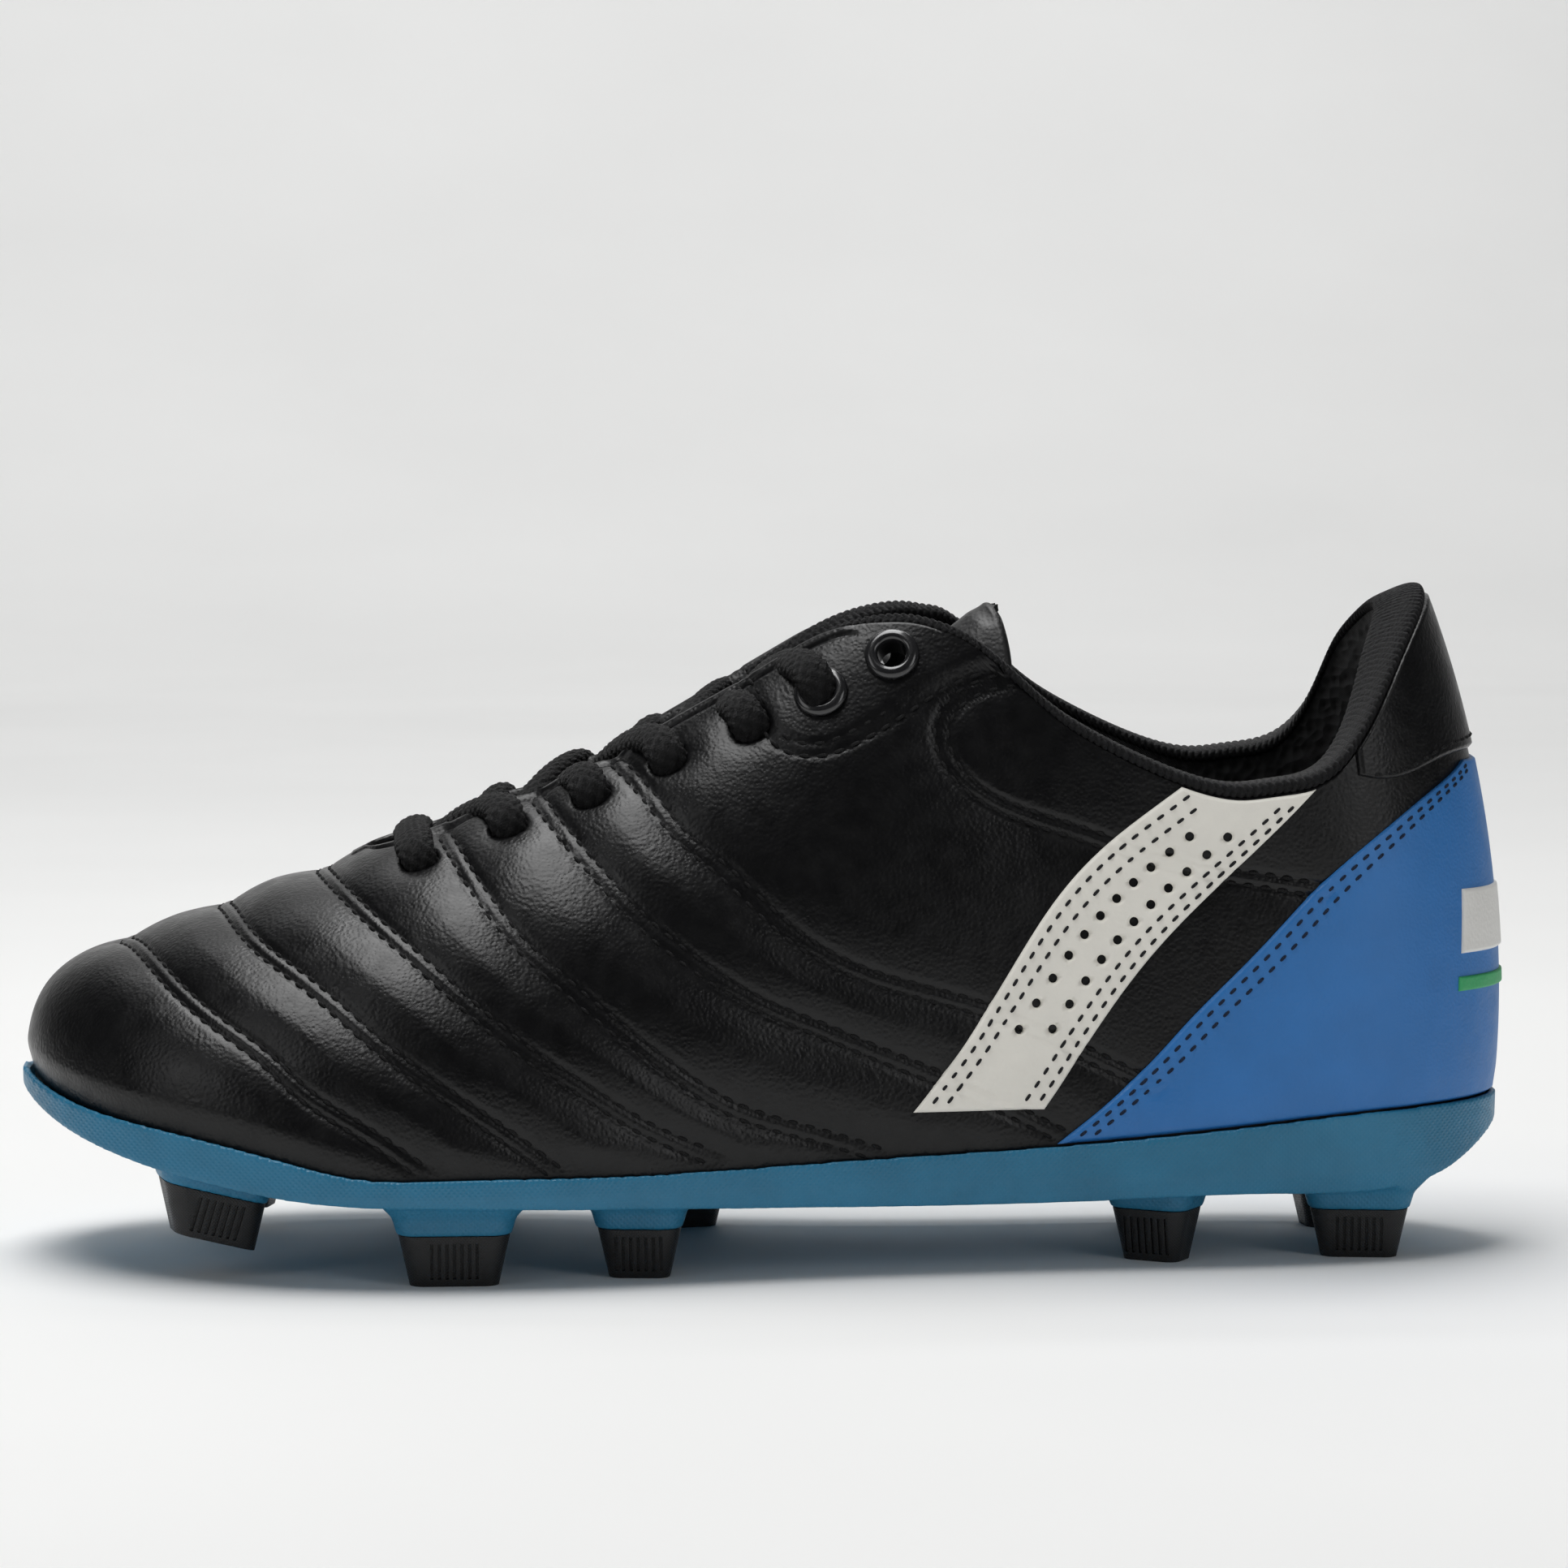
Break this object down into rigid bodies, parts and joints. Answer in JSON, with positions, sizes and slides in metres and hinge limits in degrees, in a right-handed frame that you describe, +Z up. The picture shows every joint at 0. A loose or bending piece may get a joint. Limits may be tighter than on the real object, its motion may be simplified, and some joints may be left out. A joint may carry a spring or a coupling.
{
  "type": "soccer cleat",
  "caption": "Left low-cut soccer cleat: quilted synthetic-leather upper, laced throat, padded collar, moulded outsole with bladed studs.",
  "frame": {"origin": "on the ground under the middle of the shoe's bounding box", "axes": "-X towards the toe, -Y towards the outer side of the foot, +Z up"},
  "size_m": [0.2768, 0.0985, 0.1235],
  "materials": {
    "outsole_blue": "moulded TPU, satin",
    "stud_black": "moulded, satin",
    "board": "fibre board",
    "sockliner_foam": "textile on foam",
    "stiffener": "impregnated sheet",
    "black_leather": "grained synthetic leather, semi-gloss",
    "tongue_leather": "grained synthetic leather",
    "blue_leather": "fine-grained synthetic leather",
    "white_leather": "off-white synthetic leather",
    "white_trim": "printed film",
    "green_trim": "printed film",
    "lining": "brushed textile",
    "collar_mesh": "spacer mesh",
    "binding": "knitted textile",
    "foam": "polyurethane foam",
    "lace_cord": "braided polyester",
    "aglet_plastic": "clear-coated film",
    "eyelet_black": "glossy black enamel"
  },
  "bodies": {
    "shoe": {"outsole_plate": "outsole_blue", "stud_tip_lateral_1": "stud_black", "stud_tip_lateral_2": "stud_black", "stud_tip_lateral_3": "stud_black", "stud_tip_lateral_4": "stud_black", "stud_tip_lateral_5": "stud_black", "stud_tip_medial_1": "stud_black", "stud_tip_medial_2": "stud_black", "stud_tip_medial_3": "stud_black", "stud_tip_medial_4": "stud_black", "stud_tip_medial_5": "stud_black", "insole_board": "board", "toe_puff": "stiffener", "heel_counter": "stiffener", "vamp": "black_leather", "vamp_lining": "lining", "quarter_lateral": "black_leather", "quarter_lining_lateral": "lining", "eyestay_lateral": "black_leather", "side_strap_lateral": "white_leather", "eyelet_lateral_6": "eyelet_black", "eyelet_lateral_7": "eyelet_black", "quarter_medial": "black_leather", "quarter_lining_medial": "lining", "eyestay_medial": "black_leather", "side_strap_medial": "white_leather", "eyelet_medial_6": "eyelet_black", "eyelet_medial_7": "eyelet_black", "heel_overlay": "blue_leather", "heel_tab": "black_leather", "heel_badge": "white_trim", "heel_stripe": "green_trim", "collar_foam": "foam", "collar_lining": "collar_mesh", "collar_binding": "binding", "lace": "lace_cord", "aglet_lateral": "aglet_plastic", "aglet_medial": "aglet_plastic"},
    "tongue": {"tongue_face": "tongue_leather", "tongue_foam": "foam", "tongue_lining": "collar_mesh"},
    "sockliner": {"sockliner": "sockliner_foam"}
  },
  "joints": [
    {"name": "tongue_tilt", "type": "hinge", "parent": "shoe", "child": "tongue", "pos_m": [-0.0705, 0.003, 0.066], "axis": [0, 1, 0], "range_deg": [0, 12], "stiffness_Nm_per_rad": 0.6},
    {"name": "sockliner_lift", "type": "hinge", "parent": "shoe", "child": "sockliner", "pos_m": [-0.131, 0, 0.0303], "axis": [0, -1, 0], "range_deg": [0, 8]}
  ]
}
